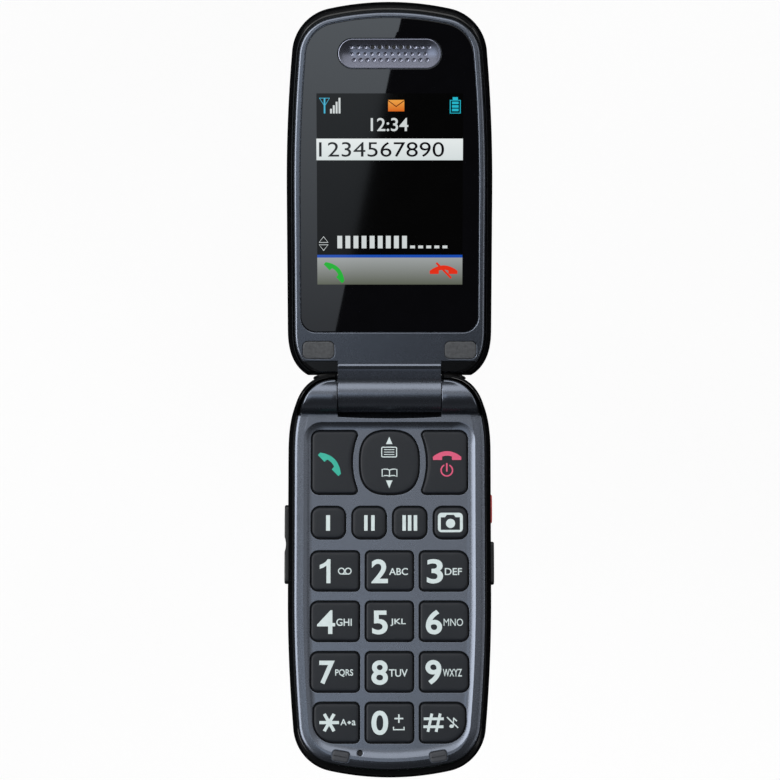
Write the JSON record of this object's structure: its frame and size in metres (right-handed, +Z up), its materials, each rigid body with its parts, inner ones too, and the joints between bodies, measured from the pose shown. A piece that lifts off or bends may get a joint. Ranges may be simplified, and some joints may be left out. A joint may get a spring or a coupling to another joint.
{
  "type": "clamshell mobile phone",
  "caption": "Clamshell mobile phone lying open: rounded base with large separate keys, hinged lid with a glass window over the display, earpiece, side keys and battery door.",
  "frame": {"origin": "middle of the base's flat back face, which the open phone lies on", "axes": "+X across the phone to the right of its user, +Y along the base from the keypad's end towards the lid, +Z up out of the keypad"},
  "size_m": [0.0526, 0.1899, 0.0355],
  "materials": {
    "satin_front": "satin dark blue-grey paint on plastic",
    "gloss_black": "gloss black",
    "key_rubber": "matt charcoal",
    "side_key_plastic": "semi-gloss black",
    "emergency_red": "gloss red",
    "pad_rubber": "matt grey rubber",
    "window_black_glass": "black-backed clear window, high gloss",
    "silver_mesh": "satin silver-blue",
    "display_black": "dark display",
    "board_green": "green solder mask",
    "dome_steel_sheet": "domed steel on film",
    "mat_silicone": "silicone",
    "battery_case": "matt dark grey",
    "door_plastic": "semi-gloss black",
    "sounder_black": "matt black",
    "steel": "plain steel",
    "screw_steel": "blackened steel",
    "antenna_copper": "copper",
    "contact_gold": "gold plated"
  },
  "bodies": {
    "base": {"base_front_cover": "satin_front", "base_rear_cover": "gloss_black", "bumper_left": "pad_rubber", "bumper_right": "pad_rubber", "main_board": "board_green", "dome_sheet": "dome_steel_sheet", "keypad_mat": "mat_silicone", "battery": "battery_case", "loudspeaker": "sounder_black", "microphone": "sounder_black", "vibration_motor": "steel", "sim_holder": "steel", "charging_socket": "steel", "base_screw_left": "screw_steel", "base_screw_right": "screw_steel", "base_screw_end": "screw_steel", "antenna": "antenna_copper", "battery_contacts": "contact_gold"},
    "lid": {"lid_front_cover": "satin_front", "lid_outer_cover": "gloss_black", "window_glass": "window_black_glass", "display_module": "display_black", "earpiece_grille": "silver_mesh", "earpiece_speaker": "sounder_black", "chin_pad_left": "pad_rubber", "chin_pad_right": "pad_rubber", "lid_screw_left": "screw_steel", "lid_screw_right": "screw_steel", "lid_board": "board_green", "camera_module": "sounder_black", "camera_window": "window_black_glass", "outer_display": "display_black", "outer_window": "window_black_glass", "hinge_cartridge": "steel", "hinge_bush": "steel"},
    "call_key": {"call_key": "key_rubber"},
    "nav_key": {"nav_key": "key_rubber"},
    "end_key": {"end_key": "key_rubber"},
    "hot_key_1": {"hot_key_1": "key_rubber"},
    "hot_key_2": {"hot_key_2": "key_rubber"},
    "hot_key_3": {"hot_key_3": "key_rubber"},
    "camera_key": {"camera_key": "key_rubber"},
    "key_1": {"key_1": "key_rubber"},
    "key_2": {"key_2": "key_rubber"},
    "key_3": {"key_3": "key_rubber"},
    "key_4": {"key_4": "key_rubber"},
    "key_5": {"key_5": "key_rubber"},
    "key_6": {"key_6": "key_rubber"},
    "key_7": {"key_7": "key_rubber"},
    "key_8": {"key_8": "key_rubber"},
    "key_9": {"key_9": "key_rubber"},
    "star_key": {"star_key": "key_rubber"},
    "key_0": {"key_0": "key_rubber"},
    "hash_key": {"hash_key": "key_rubber"},
    "volume_rocker": {"volume_rocker": "side_key_plastic"},
    "side_key": {"side_key": "side_key_plastic"},
    "emergency_key": {"emergency_key": "emergency_red"},
    "battery_door": {"battery_door": "door_plastic"}
  },
  "joints": [
    {"name": "lid_hinge", "type": "hinge", "parent": "base", "child": "lid", "pos_m": [0, 0.04515, 0.0117], "axis": [1, 0, 0], "range_deg": [0, 165]},
    {"name": "call_key_press", "type": "slide", "parent": "base", "child": "call_key", "axis": [0, 0, -1], "range_m": [0, 0.0003], "stiffness_N_per_m": 1000},
    {"name": "nav_key_rock", "type": "hinge", "parent": "base", "child": "nav_key", "pos_m": [0, 0.02782, 0.0092], "axis": [1, 0, 0], "range_deg": [-1.5, 1.5], "stiffness_Nm_per_rad": 0.1},
    {"name": "end_key_press", "type": "slide", "parent": "base", "child": "end_key", "axis": [0, 0, -1], "range_m": [0, 0.0003], "stiffness_N_per_m": 1000},
    {"name": "hot_key_1_press", "type": "slide", "parent": "base", "child": "hot_key_1", "axis": [0, 0, -1], "range_m": [0, 0.0003], "stiffness_N_per_m": 1000},
    {"name": "hot_key_2_press", "type": "slide", "parent": "base", "child": "hot_key_2", "axis": [0, 0, -1], "range_m": [0, 0.0003], "stiffness_N_per_m": 1000},
    {"name": "hot_key_3_press", "type": "slide", "parent": "base", "child": "hot_key_3", "axis": [0, 0, -1], "range_m": [0, 0.0003], "stiffness_N_per_m": 1000},
    {"name": "camera_key_press", "type": "slide", "parent": "base", "child": "camera_key", "axis": [0, 0, -1], "range_m": [0, 0.0003], "stiffness_N_per_m": 1000},
    {"name": "key_1_press", "type": "slide", "parent": "base", "child": "key_1", "axis": [0, 0, -1], "range_m": [0, 0.0003], "stiffness_N_per_m": 1000},
    {"name": "key_2_press", "type": "slide", "parent": "base", "child": "key_2", "axis": [0, 0, -1], "range_m": [0, 0.0003], "stiffness_N_per_m": 1000},
    {"name": "key_3_press", "type": "slide", "parent": "base", "child": "key_3", "axis": [0, 0, -1], "range_m": [0, 0.0003], "stiffness_N_per_m": 1000},
    {"name": "key_4_press", "type": "slide", "parent": "base", "child": "key_4", "axis": [0, 0, -1], "range_m": [0, 0.0003], "stiffness_N_per_m": 1000},
    {"name": "key_5_press", "type": "slide", "parent": "base", "child": "key_5", "axis": [0, 0, -1], "range_m": [0, 0.0003], "stiffness_N_per_m": 1000},
    {"name": "key_6_press", "type": "slide", "parent": "base", "child": "key_6", "axis": [0, 0, -1], "range_m": [0, 0.0003], "stiffness_N_per_m": 1000},
    {"name": "key_7_press", "type": "slide", "parent": "base", "child": "key_7", "axis": [0, 0, -1], "range_m": [0, 0.0003], "stiffness_N_per_m": 1000},
    {"name": "key_8_press", "type": "slide", "parent": "base", "child": "key_8", "axis": [0, 0, -1], "range_m": [0, 0.0003], "stiffness_N_per_m": 1000},
    {"name": "key_9_press", "type": "slide", "parent": "base", "child": "key_9", "axis": [0, 0, -1], "range_m": [0, 0.0003], "stiffness_N_per_m": 1000},
    {"name": "star_key_press", "type": "slide", "parent": "base", "child": "star_key", "axis": [0, 0, -1], "range_m": [0, 0.0003], "stiffness_N_per_m": 1000},
    {"name": "key_0_press", "type": "slide", "parent": "base", "child": "key_0", "axis": [0, 0, -1], "range_m": [0, 0.0003], "stiffness_N_per_m": 1000},
    {"name": "hash_key_press", "type": "slide", "parent": "base", "child": "hash_key", "axis": [0, 0, -1], "range_m": [0, 0.0003], "stiffness_N_per_m": 1000},
    {"name": "volume_rocker_rock", "type": "hinge", "parent": "base", "child": "volume_rocker", "pos_m": [-0.02365, 0.00755, 0.0044], "axis": [0, 0, 1], "range_deg": [-1.5, 1.5], "stiffness_Nm_per_rad": 0.1},
    {"name": "side_key_press", "type": "slide", "parent": "base", "child": "side_key", "axis": [-1, 0, 0], "range_m": [0, 0.0003], "stiffness_N_per_m": 1000},
    {"name": "emergency_key_press", "type": "slide", "parent": "base", "child": "emergency_key", "axis": [-1, 0, 0], "range_m": [0, 0.0003], "stiffness_N_per_m": 1000},
    {"name": "battery_door_lift", "type": "slide", "parent": "base", "child": "battery_door", "axis": [0, 0, -1], "range_m": [0, 0.006]}
  ]
}
